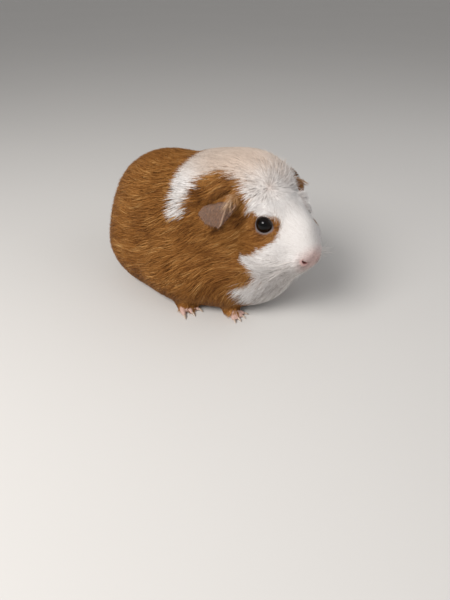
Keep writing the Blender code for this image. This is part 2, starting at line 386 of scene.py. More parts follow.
# depth of the coat over the whole animal, in millimetres
coatDepth = {
    "muzzleReach": [0, 6, 14, 25, 38, 55, 80],
    "muzzle": [0.45, 0.55, 0.9, 1.5, 2.7, 5.2, 7.2],
    "eyeReach": [8.0, 10.5, 15, 22],
    "eye": [0.8, 1.1, 2.6, 9],
    "earReach": [0, 2, 8, 16],
    "ear": [1.0, 2.2, 5, 9],
    "lowReach": [0, 5, 14, 36],
    "low": [1.7, 2.1, 3.8, 7.5],
    "sleek": 0.42,              # share of the depth lost on top of the head
    "sleekUp": (12, 25),
    "sleekBack": (-36, -22),
    "bare": 0.1,
}
smoothEnds = edgeEnds(skin.data)
melted = meshPoints(skin.data)
bare = bareOf(melted)
outer = relax(melted, smoothEnds,
              np.where(bare * (melted[:, 2] > skinSizes["earsAbove"]) > 0.3, 10, 3))


def sleekOf(points):
    head = toHead(points)
    return ramp(head[:, 2], *coatDepth["sleekUp"]) * ramp(head[:, 1], *coatDepth["sleekBack"])


def depthOver(points, bare):
    depth = np.interp(fromNose(points), coatDepth["muzzleReach"], coatDepth["muzzle"])
    depth *= 1 - coatDepth["sleek"] * sleekOf(points)
    for middle in eyeMiddles.values():
        reach = np.linalg.norm(points - np.array(middle), axis=1) / mm
        depth = np.minimum(depth, np.interp(reach, coatDepth["eyeReach"], coatDepth["eye"]))
    reach = distances(earTree, points, coatDepth["earReach"][-1] * mm + mm) / mm
    depth = np.minimum(depth, np.interp(reach, coatDepth["earReach"], coatDepth["ear"]))
    low = np.minimum(depth, np.interp(points[:, 2] / mm, coatDepth["lowReach"], coatDepth["low"]))
    return np.stack([low, 0.6 * depth + 0.4 * low], axis=1) * (1 - bare[:, None]) + (
        coatDepth["bare"] * bare[:, None])


depth, reach = relax(depthOver(outer, bare), smoothEnds, 12).T
movePoints(skin.data, relax(outer, smoothEnds, 8))
sharpNormals = meshNormals(skin.data)
outward = unit(relax(sharpNormals, smoothEnds, 10))
outward = unit(outward * (1 - bare[:, None]) + sharpNormals * bare[:, None])
under = outer - outward * ((depth + skinSizes["swell"] / mm) * mm)[:, None]
under = relax(under, smoothEnds, np.rint(4 * (1 - bare)))
print("coat depth", round(float(depth.min()), 2), "to", round(float(depth.max()), 2), "mm")


# eyelids, nostrils and mouth are raised and sunk in the skin
lidSizes = {
    "axis": (0.84, -0.46, 0.28),      # the left eye looks this way, in the head's axes
    "anglesAround": [-180, -140, -90, -50, -18, 10, 50, 90, 130, 180],   # 0 in front, 90 on top
    "openings": [54, 56, 57, 59, 66, 60, 53, 50, 51, 54],
    "lipAngles": [-8, -3.5, -1, 1.5, 6, 11, 16],    # from the edge of the opening outwards
    "rises": [-1.5, -0.5, 0.35, 0.55, 0.55, 0.4, 0.9],      # over the eyeball at those angles
}
noseSizes = {
    "nostril": (6.5, -13.6),          # sideways and up, in millimetres from the middle of the skull
    "slit": [(-1.6, -1.1), (-0.2, -0.5), (1.0, 0.5), (1.7, 1.5)],
    "slitWidth": [0.9, 0.95, 0.7, 0.35],
    "slitDepth": 1.7,
    "rimRise": 0.35,
    "mouth": [(0, -21.0), (2.5, -22.4), (5.5, -24.6), (7.6, -26.6)],
    "grooveDepth": 0.7,
    "grooveWidth": 0.75,
    "philtrum": [(0, -16.5), (0, -21.0)],
    "lip": [(0, -12.5), (0, -21.0), (5.0, -24.2)],      # the bare stripe from nose to mouth
}


def eyeFrame(name):
    side = 1 if name == "left" else -1
    x, y, z = lidSizes["axis"]
    axis = unit(np.array([side * x, y, z]) @ headRows)
    up = np.array(headUp)
    up = unit(up - axis * dots(up, axis))
    ahead = unit(-np.array(headBack) - axis * dots(-np.array(headBack), axis))
    ahead = unit(ahead - up * dots(ahead, up))
    return axis, ahead, up


def eyeAngles(points, name):
    # degrees from the optical axis, degrees round it, and millimetres from the eye's middle
    axis, ahead, up = eyeFrame(name)
    reach = points - np.array(eyeMiddles[name])
    far = np.linalg.norm(reach, axis=1)
    way = reach / np.maximum(far, 1e-9)[:, None]
    polar = np.degrees(np.arccos(np.clip(dots(way, axis), -1, 1)))
    around = np.degrees(np.arctan2(dots(way, up), dots(way, ahead)))
    return polar, around, far / mm


def lidOpening(around):
    return np.interp(around, lidSizes["anglesAround"], lidSizes["openings"])


def shapeLids(points):
    made = points.copy()
    radius = headSizes["eyeRadius"] / mm
    for name in eyeMiddles:
        polar, around, far = eyeAngles(points, name)
        beyond = polar - lidOpening(around)
        profile = np.interp(beyond, lidSizes["lipAngles"], radius + np.array(lidSizes["rises"]))
        keep = np.maximum.reduce([ramp(beyond, 8, 26),
                                  ramp(far, radius + 1.2, radius + 3.5) * ramp(beyond, 0, 4),
                                  ramp(far, radius + 3.5, radius + 7) * ramp(beyond, -2, 2)])
        close = (polar < 100) & (far < radius + 7)
        wanted = np.where(close, profile * (1 - keep) + far * keep, far)
        middle = np.array(eyeMiddles[name])
        made = middle + (made - middle) * (wanted / np.maximum(far, 1e-6))[:, None]
    return made


def alongPath(spots, path, extra=None):
    # distance from each spot to a bent line, and a value read along that line
    best = np.full(len(spots), 1e9)
    value = np.zeros(len(spots))
    for index in range(len(path) - 1):
        start, end = np.array(path[index], float), np.array(path[index + 1], float)
        way = end - start
        share = np.clip((spots - start) @ way / (way @ way), 0, 1)
        away = np.linalg.norm(spots - start - share[:, None] * way, axis=1)
        if extra is not None:
            read = extra[index] * (1 - share) + extra[index + 1] * share
            value = np.where(away < best, read, value)
        best = np.minimum(best, away)
    return best, value


def shapeNose(points, normals):
    head = toHead(points)
    front = (head[:, 1] < -45) & (head[:, 2] < 0)
    move = np.zeros(len(points))
    for side in (1, -1):
        across, up = noseSizes["nostril"]
        spots = np.stack([head[:, 0] * side - across, head[:, 2] - up], axis=1)
        away, width = alongPath(spots, noseSizes["slit"], noseSizes["slitWidth"])
        move -= noseSizes["slitDepth"] * (1 - ramp(away, width * 0.3, width + 0.35)) * front
        rim = np.exp(-((away - width - 1.0) / 0.7) ** 2)
        move += noseSizes["rimRise"] * rim * front * (1 - ramp(-spots[:, 0], 0.5, 3.5))
    spots = np.stack([np.abs(head[:, 0]), head[:, 2]], axis=1)
    mouth, _ = alongPath(spots, noseSizes["mouth"])
    lip, _ = alongPath(spots, noseSizes["philtrum"])
    groove = np.minimum(mouth + ramp(spots[:, 0], 4.5, 8) * 0.6, lip + 0.15)
    move -= noseSizes["grooveDepth"] * (1 - ramp(groove, 0.1, noseSizes["grooveWidth"])) * front
    return points + normals * (move * mm)[:, None]


movePoints(skin.data, under)
skinPoints = shapeLids(shapeNose(under, meshNormals(skin.data)))
skinPoints[:, 2] = np.maximum(skinPoints[:, 2], skinSizes["floorGap"])
movePoints(skin.data, skinPoints)
print("skin shaped")


def unwrap(piece, name):
    mesh = piece.data
    layer = mesh.uv_layers.new(name=name)
    mesh.uv_layers.active = layer
    bpy.context.view_layer.objects.active = piece
    piece.select_set(True)
    bpy.ops.object.mode_set(mode="EDIT")
    bpy.ops.mesh.select_all(action="SELECT")
    bpy.ops.uv.smart_project(angle_limit=math.radians(66), island_margin=0.002)
    bpy.ops.object.mode_set(mode="OBJECT")
    piece.select_set(False)


unwrap(skin, "OFBake")
print("skin unwrapped")


# white and ginger, the same on both sides
markings = {
    "earPatch": ((35.4, 0, 8), (25, 25, 34)),
    "eyePatch": ((19.4, -28.5, 2.2), (13, 12.8, 11)),
    "cheekHeights": [-62, -47, -41, -29, -25, -20, -12, -3, 5],
    "cheekLine": [-21, -17, -28, -30, -24, -24, -34.5, -41, -44],
    "capeAlong": [-45, -36, -28, -10, 12, 22],
    "capeBottom": [2, 3, 12, 19.5, 14, 2],
    "capeBack": (33, 0.53, 4),       # how far back, how much farther with height, from where
    "throat": (16, -20, 4),     # how wide, how high and how far back it is white
    "cheekTop": 6,
    "ragged": [(1.5, 9 * mm, 3), (1.2, 3 * mm, 4)],      # how far an edge strays, over what size
    "calm": ((28, 40), (-12, 0), 0.75),      # ahead and up on the face, where edges stray less
    "creamUp": (20, 36),
    "creamBack": (-24, -8),
    "pink": ((0, -58, -13), (10, 9, 9), 0.3, 1.4),
}


def wander(points, size, seed, waves=9):
    # a smooth value between about -1 and 1 that drifts through space
    dice = np.random.default_rng(seed)
    ways = unit(dice.normal(size=(waves, 3))) * dice.uniform(0.6, 1.6, (waves, 1)) * 2 * np.pi / size
    starts = dice.uniform(0, 2 * np.pi, waves)
    return np.sin(points @ ways.T + starts).sum(axis=1) * (1.4 / waves ** 0.5) / 1.6


def insidePatch(side, y, z, patch):
    (cx, cy, cz), (rx, ry, rz) = patch
    reach = np.sqrt(((side - cx) / rx) ** 2 + ((y - cy) / ry) ** 2 + ((z - cz) / rz) ** 2)
    return (reach - 1) * min(rx, ry, rz)


def whiteOf(points):
    side, y, z = halfHead(points).T
    wide, high, far = markings["throat"]
    cheek = np.interp(z, markings["cheekHeights"], markings["cheekLine"]) - y
    cheek = np.maximum(cheek, np.minimum.reduce([wide - side, high - z, far - y]))
    cheek = np.minimum(cheek, markings["cheekTop"] - z)
    back, slope, fromHeight = markings["capeBack"]
    back = back + slope * (z - fromHeight)
    bottom = np.interp(y, markings["capeAlong"], markings["capeBottom"])
    value = np.maximum(cheek, np.minimum(z - bottom, back - y))
    for patch in ("earPatch", "eyePatch"):
        value = np.minimum(value, insidePatch(side, y, z, markings[patch]))
    ahead, up, share = markings["calm"]
    calm = 1 - share * ramp(-y, *ahead) * ramp(z, *up)
    value += sum(stray * wander(points, size, seed) for stray, size, seed in markings["ragged"]) * calm
    return ramp(value, -1, 1)


def crispWhite(points):
    # the same for single hairs, whose tones mix less at an edge
    return ramp(whiteOf(points), 0.15, 0.85)


def creamOf(points):
    head = toHead(points)
    return ramp(head[:, 2], *markings["creamUp"]) * ramp(head[:, 1], *markings["creamBack"])


def pinkOf(points):
    return nearSpot(toHead(points), *markings["pink"])


# painted shade between the hairs round the ear and the eye: spot, size, where it starts to fade and
# ends, and its strength
shadeSpots = [
    ((29.4, -17, 14), (9, 6, 10), 0.3, 1.2, 0.9),       # between the ear and the eye
    ((40.4, -7, -1), (9, 8, 6), 0.3, 1.2, 0.75),        # under the ear
    ((42, 8, 22), (12, 13, 13), 0.3, 1.3, 0.55),        # behind and above it
]
# painted shade along the ear's hollow: where it starts, its way and where it fades
earHollowShade = {"start": (38.6, -1.2, 21.6), "way": (-5.6, -4.2, 5.2), "edge": (0.9, 3.0)}


def paintedShadeOf(points):
    # painted shade: darker coat tones along the ear's hollow and round the spots above
    head = halfHead(points)
    start, way = np.array(earHollowShade["start"]), np.array(earHollowShade["way"])
    share = np.clip((head - start) @ way / (way @ way), 0, 1)[:, None]
    shades = [1 - ramp(np.linalg.norm(head - start - share * way, axis=1), *earHollowShade["edge"])]
    for spot, size, start, end, strength in shadeSpots:
        shades.append(strength * nearSpot(head, spot, size, start, end))
    return np.maximum.reduce(shades)


layRules = {
    "rosette": (-5.8, -17.4, 27.2),
    "faces": [-1, -0.3, 0.4, 0.9],     # how far round to the front, and there the rosette's reach
    "reaches": [62, 44, 22, 13],
    "edges": [12, 8, 5, 3.2],
    "faceReach": (58, 95),             # from the nose, where the lie of the face gives way
    "stations": [-60, -20, 20, 60],    # along the body, and there how steeply the sides fall
    "drops": [1.1, 0.95, 0.4, 0.1],
    "onBack": 0.08,
    "onSides": (0.1, 0.8),             # how far the skin faces sideways
    "low": ((5, 45), 0.25),            # heights under which it falls more, and by how much
    "hem": ((8, 30), 1.5),
    "hemFacing": (-0.9, -0.2),
    "seamFacing": (-0.1, 0.5),
    "offEye": 0.3,
    "overEar": ((36, 3, 24), (16, 17, 14), 0.5, 1.25),
    "overEarWay": (0.71, 0.42, -0.80),
    "roundEye": (10.5, 17),
}


def layOf(points, normals):
    head = toHead(points)
    ahead = head - noseTip
    face = 1 - ramp(np.linalg.norm(ahead, axis=1), *layRules["faceReach"])
    z = points[:, 2] / mm
    steep = np.interp(points[:, 1] / mm, layRules["stations"], layRules["drops"])
    drop = layRules["onBack"] + steep * ramp(np.abs(normals[:, 0]), *layRules["onSides"])
    heights, more = layRules["low"]
    drop = drop + more * (1 - ramp(z, *heights))
    body = np.stack([np.zeros(len(points)), np.ones(len(points)), -drop], axis=1)
    heights, more = layRules["hem"]
    body[:, 2] -= more * (1 - ramp(z, *heights)) * ramp(normals[:, 2], *layRules["hemFacing"])
    way = unit(unit(ahead) @ headRows * face[:, None] + unit(body) * (1 - face[:, None]))
    spread = head - np.array(layRules["rosette"])
    reach = np.linalg.norm(spread, axis=1)
    facing = -spread[:, 1] / np.maximum(reach, 1e-6)
    limit = np.interp(facing, layRules["faces"], layRules["reaches"])
    edge = np.interp(facing, layRules["faces"], layRules["edges"])
    pull = 1 / (1 + np.exp(np.clip((reach - limit) / edge, -30, 30)))
    way = way * (1 - pull[:, None]) + unit(spread) @ headRows * pull[:, None]
    seam = np.exp(-((reach - limit) / (edge * 2 + 2)) ** 2) * ramp(facing, *layRules["seamFacing"])
    overEar = np.array(layRules["overEarWay"]) * np.where(head[:, :1] < 0, [-1, 1, 1], [1, 1, 1])
    close = nearSpot(halfHead(points), *layRules["overEar"])
    way = way * (1 - close[:, None]) + unit(overEar) @ headRows * close[:, None]
    for middle in eyeMiddles.values():
        away = points - np.array(middle)
        close = 1 - ramp(np.linalg.norm(away, axis=1) / mm, *layRules["roundEye"])
        away = unit(away - normals * dots(away, normals)[:, None])
        toward = np.minimum(dots(way, away), 0)
        way = way - away * (toward * close)[:, None] + away * (layRules["offEye"] * close)[:, None]
    return unit(way - normals * dots(way, normals)[:, None]), seam


skinPoints = meshPoints(skin.data)
skinNormals = meshNormals(skin.data)
calmNormals = unit(relax(skinNormals, smoothEnds, np.rint(8 * (1 - bare))))
lay, seam = layOf(skinPoints, calmNormals)
lay = relax(lay, smoothEnds, 3)
lay = unit(lay - calmNormals * dots(lay, calmNormals)[:, None])
white = whiteOf(skinPoints)
cream = creamOf(skinPoints)


coatRules = {
    "seed": 11,
    "tufts": 138000,
    "lengthBase": 1.1,
    "lengthPerDepth": 2.75,
    "widthBase": 0.17,
    "widthPerLength": 0.0165,
    "longerOnSleek": 0.9,
    "finerOnCream": 0.28,
    "atRosette": (0.55, 0.45),      # share of the length at its middle, and what comes back
    "rosetteLength": (1, 7),
    "turn": 9,                  # degrees of scatter
    "drift": (13, 32 * mm),     # degrees of slow drift over the coat, and its size
    "length": (0.7, 1.15),      # how much shorter or longer one tuft is than its neighbours
    "width": (0.75, 1.2),
    "rise": (0.5, 1.03),        # shares of the coat's depth that the tips reach
    "riseOnWhite": 0.34,        # by which the lower share is larger there
    "seamLift": 0.12,
    "rootDepth": 0.25 * mm,
    "middleRise": 0.72,         # share of the tip's rise
    "clumpShare": 0.17,         # clumps for each tuft
    "clumpLength": (0.85, 1.2),
    "clumpRise": (0.72, 1.0),
    "clumpPull": 0.42,
    "clumpSpread": (0.5, 1.2),
    "clumpMiddle": 0.45,        # share of the pull that a tuft's middle follows
    "clumpStray": 0.02,
    "clumpReach": 4 * mm,
    "sleekAhead": (24, 36),     # where white hair lies smooth on the face and on the crown
    "sleekUp": (-16, -2),
    "sleekCrown": (14, 26),
    "sleekCalm": 0.75,
    "streakShare": 0.3,
    "streakSteps": [-5.4, -3.6, -1.8, 0, 1.8, 3.6, 5.4],   # along the coat, for one tone
    "streakGain": 2.0,
    "toneShares": (0.55, 0.45),      # of the streaks and of each tuft's own tone
    "contrast": 1.1,            # more on white, less where it lies smooth and on the face
    "contrastOnWhite": 0.8,
    "contrastOnSleek": 1.2,
    "contrastOnFace": 0.2,
    "faceAhead": (20, 30),
    "faceUp": (-16, 0),
    "darkestGinger": 0.24,
    # by which painted shade lowers a tuft's tone
    "paintedShade": 0.6,
    "whiteAt": (0.6, 0.4),      # shares of root and middle that decide a tuft's color
    "fray": 0.8,                # millimetres by which the edges of the markings fray
    "trims": (0.6, 0.35, 0.2),       # shares to which hairs in front of an eye are cut
    "trimMargin": 1.0,
    "ownNormal": 0.58,          # the rest of a tuft's shading follows the skin under it
    "calmNormal": 0.26,
    "rootsOffLid": 2.0,         # degrees between the opening and the first roots
    "lidEdge": (7.7, 9.2),      # from the eye's middle, over which the coat begins
    "overLid": 6,               # degrees by which hairs farther out may lean over an eye
    "eyeClear": 16,
    "patch": 0.003,
    "pieceLimit": 19000,
}
dice = np.random.default_rng(coatRules["seed"])
isEar = skinPoints[:, 2] > skinSizes["earsAbove"]
hairLength = coatRules["lengthBase"] + coatRules["lengthPerDepth"] * reach
hairLength *= 1 + coatRules["longerOnSleek"] * coatDepth["sleek"] * sleekOf(skinPoints)
hairWidth = coatRules["widthBase"] + coatRules["widthPerLength"] * hairLength
hairWidth *= 1 - coatRules["finerOnCream"] * cream * white
fromRosette = np.linalg.norm(toHead(skinPoints) - np.array(layRules["rosette"]), axis=1)
shortest, grows = coatRules["atRosette"]
hairLength *= shortest + grows * ramp(fromRosette, *coatRules["rosetteLength"])


def openEye(points, margin=0.0):
    # true where a point would stand in front of an open eye
    found = np.zeros(len(points), bool)
    for name in eyeMiddles:
        polar, around, far = eyeAngles(points, name)
        near = 1 - ramp(far, *coatRules["lidEdge"])
        slack = margin * near - coatRules["overLid"] * (1 - near)
        found |= (polar < lidOpening(around) + slack) & (far < coatRules["eyeClear"])
    return found


def nostrilReach(points):
    head = halfHead(points)
    spots = head[:, [0, 2]] - noseSizes["nostril"]
    away, width = alongPath(spots, noseSizes["slit"], noseSizes["slitWidth"])
    return np.where(head[:, 1] < -50, away - width, 50)


densityRules = {
    "cover": 0.55,              # share of its length and width that a tuft covers
    "moreOnWhite": 0.5,
    "whiteFrom": (0.4, 1),
    "underside": (6 * mm, -0.6),     # height and slope of the part that lies on the floor
    "lessUnder": 0.75,
    "moreAtRosette": 1.6,
    "rosette": (2, 7),
    "nostril": (0.9, 4.5),
}
density = 1 / (hairLength * hairWidth * densityRules["cover"])
density *= 1 + densityRules["moreOnWhite"] * ramp(cream + white, *densityRules["whiteFrom"])
height, slope = densityRules["underside"]
underside = (skinPoints[:, 2] < height) & (skinNormals[:, 2] < slope)
density *= 1 - densityRules["lessUnder"] * underside
density *= 1 + densityRules["moreAtRosette"] * (1 - ramp(fromRosette, *densityRules["rosette"]))
density[bare > 0.5] = 0
density[openEye(skinPoints, coatRules["rootsOffLid"])] = 0
density *= ramp(nostrilReach(skinPoints), *densityRules["nostril"])

skin.data.calc_loop_triangles()
triangles = skin.data.loop_triangles
corners = readAll(triangles, "vertices", 3, np.int32)
skinPlaces = readAll(skin.data.uv_layers["OFBake"].data, "uv", 2)
cornerPlaces = skinPlaces[readAll(triangles, "loops", 3, np.int32)]
sides = skinPoints[corners]
areas = np.linalg.norm(np.cross(sides[:, 1] - sides[:, 0], sides[:, 2] - sides[:, 0]), axis=1) / 2
areas /= mm * mm


def sowRoots(weight, count):
    total = np.cumsum(areas * weight[corners].mean(axis=1))
    picks = (np.arange(count) + dice.random(count)) / count * total[-1]
    faces = np.minimum(np.searchsorted(total, picks), len(corners) - 1)
    u, v = dice.random(count), dice.random(count)
    over = u + v > 1
    u, v = np.where(over, 1 - u, u), np.where(over, 1 - v, v)
    shares = np.stack([1 - u - v, u, v], axis=1)
    return faces, shares


def readAt(values, faces, shares):
    picked = values[corners[faces]]
    if picked.ndim == 2:
        return (picked * shares).sum(axis=1)
    return (picked * shares[:, :, None]).sum(axis=1)


def placeAt(faces, shares):
    return (cornerPlaces[faces] * shares[:, :, None]).sum(axis=1)


furred = np.flatnonzero(bare < 0.5)
skinTree = spotTree(skinPoints[furred])
vertexPlaces = np.zeros((len(skinPoints), 2))
vertexPlaces[corners.ravel()] = cornerPlaces.reshape(-1, 2)


def ontoSkin(points):
    near = furred[nearestIn(skinTree, points)]
    normal = calmNormals[near]
    off = dots(points - skinPoints[near], normal)
    return points - normal * off[:, None], near


def turned(way, normal, angle):
    return way * np.cos(angle)[:, None] + np.cross(normal, way) * np.sin(angle)[:, None]


def growHairs(roots, way, normal, length, angle, rise):
    # root, middle and tip, following the lie of the coat over the skin
    way = turned(way, normal, angle)
    middleSkin, near = ontoSkin(roots + way * (length * 0.5 * mm)[:, None])
    middleRise = depth[near] * np.minimum(rise, 1.0) * coatRules["middleRise"]
    middle = middleSkin + calmNormals[near] * (middleRise * mm)[:, None]
    way = turned(lay[near], calmNormals[near], angle)
    tip, far = ontoSkin(middleSkin + way * (length * 0.5 * mm)[:, None])
    tip = tip + calmNormals[far] * (depth[far] * rise * mm)[:, None]
    return middle, tip, calmNormals[near], calmNormals[far]


def rootsAt(faces, shares):
    # root, normal and lie of the coat
    return (readAt(skinPoints, faces, shares), unit(readAt(calmNormals, faces, shares)),
            unit(readAt(lay, faces, shares)))


def scatterAt(roots):
    degrees, size = coatRules["drift"]
    scatter = dice.normal(0, coatRules["turn"], len(roots))
    return np.radians(scatter + degrees * wander(roots, size, 5))


def growClumps(count):
    # the longer tufts that their neighbours lean towards
    faces, shares = sowRoots(density ** 0.6, count)
    roots, normal, way = rootsAt(faces, shares)
    length = readAt(hairLength, faces, shares) * dice.uniform(*coatRules["clumpLength"], count)
    angle = scatterAt(roots)
    rise = dice.uniform(*coatRules["clumpRise"], count)
    rise = rise * (1 + coatRules["seamLift"] * readAt(seam, faces, shares))
    middle, tip, _, _ = growHairs(roots, way, normal, length, angle, rise)
    dice.random(count)      # keeps the draws that follow as they are
    return roots, middle, tip


def streaksAt(roots, way):
    # tones averaged along the coat, so that neighbours in a line share one
    count = len(roots)
    seeds = dice.permutation(count)[:int(count * coatRules["streakShare"])]
    seedTone = dice.random(len(seeds))
    seedTree = spotTree(roots[seeds])
    streak = np.zeros(count)
    for step in coatRules["streakSteps"]:
        streak += seedTone[nearestIn(seedTree, roots + way * (step * mm))]
    return 0.5 + (streak / len(coatRules["streakSteps"]) - 0.5) * coatRules["streakGain"]


def sleekAt(roots):
    # 1 where the coat lies smooth: on the bridge of the nose, on the crown and round the nose
    head = toHead(roots)
    bridge = ramp(-head[:, 1], *coatRules["sleekAhead"]) * ramp(head[:, 2], *coatRules["sleekUp"])
    return np.maximum.reduce([bridge, ramp(head[:, 2], *coatRules["sleekCrown"]), pinkOf(roots)])


def pullToClumps(clumps, roots, middle, tip, length, loose):
    clumpRoots, clumpMiddle, clumpTip = clumps
    count = len(roots)
    clump = nearestIn(spotTree(clumpRoots), roots)
    pull = coatRules["clumpPull"] * dice.uniform(*coatRules["clumpSpread"], count)
    pull *= loose
    pull *= np.linalg.norm(clumpRoots[clump] - roots, axis=1) < coatRules["clumpReach"]
    pull = pull[:, None]
    stray = dice.normal(0, 1, (count, 3)) * (coatRules["clumpStray"] * length * mm)[:, None]
    middle = middle + (clumpMiddle[clump] - middle) * pull * coatRules["clumpMiddle"]
    return middle, tip + (clumpTip[clump] + stray - tip) * pull


def tonesAt(roots, way, smooth, sleek):
    # from dark to pale, lowered where shade is painted; smooth is 1 on white hair
    head = toHead(roots)
    streaks, own = coatRules["toneShares"]
    tone = streaks * streaksAt(roots, way) + own * dice.random(len(roots))
    face = smooth * ramp(head[:, 2], *coatRules["faceUp"]) * ramp(-head[:, 1], *coatRules["faceAhead"])
    spread = coatRules["contrast"] + coatRules["contrastOnWhite"] * smooth * (
        1 - coatRules["contrastOnSleek"] * sleek) - coatRules["contrastOnFace"] * face
    tone = np.maximum(0.5 + (tone - 0.5) * spread, coatRules["darkestGinger"] * (1 - smooth))
    return tone - coatRules["paintedShade"] * paintedShadeOf(roots)


def overEye(hair):
    return openEye(hair["middle"], coatRules["trimMargin"]) | openEye(hair["tip"])


def clearEyes(hair):
    # hairs in front of an eye are shortened, and those that still cover it are left out
    for share in coatRules["trims"]:
        late = overEye(hair)[:, None]
        for key in ("middle", "tip"):
            short = hair["root"] + (hair[key] - hair["root"]) * share
            hair[key] = np.where(late, short, hair[key])
    clear = ~overEye(hair)
    return {key: value[clear] for key, value in hair.items()}


def growCoat(count):
    clumps = growClumps(int(count * coatRules["clumpShare"]))
    faces, shares = sowRoots(density, count)
    roots, normal, way = rootsAt(faces, shares)
    length = readAt(hairLength, faces, shares) * dice.uniform(*coatRules["length"], count)
    angle = scatterAt(roots)
    smooth = readAt(white, faces, shares)
    low, high = coatRules["rise"]
    rise = dice.uniform(low + coatRules["riseOnWhite"] * smooth, high)
    rise = rise * (1 + coatRules["seamLift"] * readAt(seam, faces, shares))
    middle, tip, middleNormal, tipNormal = growHairs(roots, way, normal, length, angle, rise)
    sleek = sleekAt(roots)
    loose = 1 - coatRules["sleekCalm"] * sleek * smooth
    middle, tip = pullToClumps(clumps, roots, middle, tip, length, loose)
    width = readAt(hairWidth, faces, shares) * dice.uniform(*coatRules["width"], count)
    tone = tonesAt(roots, turned(way, normal, angle), smooth, sleek)
    byRoot, byMiddle = coatRules["whiteAt"]
    fray = dice.normal(0, coatRules["fray"], (count, 3)) * mm
    spots = roots * byRoot + middle * byMiddle + fray
    hair = {"root": roots - normal * coatRules["rootDepth"], "middle": middle, "tip": tip,
            "normal": normal, "middleNormal": middleNormal, "tipNormal": tipNormal, "width": width,
            "tone": tone, "calm": sleek * smooth, "white": crispWhite(spots),
            "cream": creamOf(roots), "pink": pinkOf(roots), "place": placeAt(faces, shares)}
    return clearEyes(hair)


# single locks: over the ears, on the brow and crest, under the chin, and the whiskers
lockRules = {
    # spot and way in the head's axes on the left side; lift is above the coat, in millimetres
    "earCover": dict(spot=(33.4, -0.5, 26.5), reach=(2.6, 7), along=(0.5, 0.62, -0.5),
                     way=(0.71, 0.42, -0.80), length=9, lift=(1.2, 3.0), count=520, fan=14,
                     width=0.26, tone=(0.1, 0.75)),
    "earGold": dict(spot=(29.8, -11.5, 25.2), reach=(2.4, 5.0), along=(0.5, -0.6, -0.3),
                    way=(0.55, 0.16, -0.80), length=9, lift=(0.4, 2.2), count=170, fan=16,
                    width=0.17, tone=(0.55, 0.95), white=0.06, far=0.35),
    "earPale": dict(spot=(31.4, -10.0, 23.5), reach=(1.4, 4.0), along=(0.5, -0.6, -0.3),
                    way=(0.50, 0.14, -0.86), length=11, lift=(1.4, 3.0), count=40, fan=20,
                    width=0.16, tone=(0.9, 1.0), white=0.25, far=0.35),
    "brow": dict(spot=(16.6, -29, 18.4), reach=(2.5, 7.5), along=(0.1, 1, 0),
                 way=(0.66, 0.34, -0.56), length=7.5, lift=(0.4, 1.0), count=420, fan=20,
                 width=0.20, tone=(0.3, 1.0), white=1.0),
    "crest": dict(spot=(9, -16, 30), reach=(6, 9), along=(0, 1, 0),
                  way=(0.75, 0.35, 0.25), length=13, lift=(1.0, 4.6), count=300, fan=44,
                  width=0.26, tone=(0.4, 1.0), side=1),
    "crestNear": dict(spot=(4, -8, 32), reach=(5, 10), along=(0, 1, 0),
                      way=(0.1, 0.95, 0.1), length=17, lift=(0.4, 2.4), count=260, fan=30,
                      width=0.34, tone=(0.4, 1.0), side=1),
    "farBrow": dict(spot=(14.5, -29, 17.5), reach=(4, 6.5), along=(0.3, -1, 0),
                    way=(0.90, -0.25, 0.05), length=10, lift=(1.2, 5.5), count=520, fan=26,
                    width=0.24, tone=(0.4, 1.0), white=1.0, side=1),
    "farLid": dict(spot=(13.5, -35, 13), reach=(3.5, 6), along=(0.3, -1, -0.3),
                   way=(0.80, -0.30, 0.10), length=6, lift=(1.0, 3.4), count=420, fan=26,
                   width=0.20, tone=(0.4, 1.0), white=1.0, side=1),
    "chin": dict(spot=(20, -26, -38), reach=(9, 10), along=(0, 1, 0),
                 way=(0.35, 0.62, -0.70), length=15, lift=(0.5, 3.6), count=520, fan=20,
                 width=0.26, tone=(0.3, 1.0)),
    "whiskers": dict(spot=(12.0, -51, -14.5), reach=(3.2, 4.2), along=(0, 1, 0.2),
                     way=(0.82, 0.42, -0.20), length=27, lift=(7, 12), count=15, fan=24,
                     width=0.16, tone=(0.8, 1.0), white=0.9),
}


lockShape = {
    "scatter": (0.5, 1.1),      # of the reach: usual and greatest distance of a root
    "length": (0.65, 1.15),
    "cover": 0.8,               # shares of the coat's depth and of the lift at the middle
    "lift": 0.75,
    "rootDepth": 0.3 * mm,
    "fray": 0.7,
    # by which painted shade lowers a lock's tone
    "paintedShade": 0.5,
    "calm": 0.7,
    "farLength": (0.4, 0.6),    # what stays of the length on the far side, and what shrinks
    "lidSlack": -6,             # degrees by which a tip may lean over an eye
    "whisker": 20,              # longer than this, the tip stands free of the skin
}


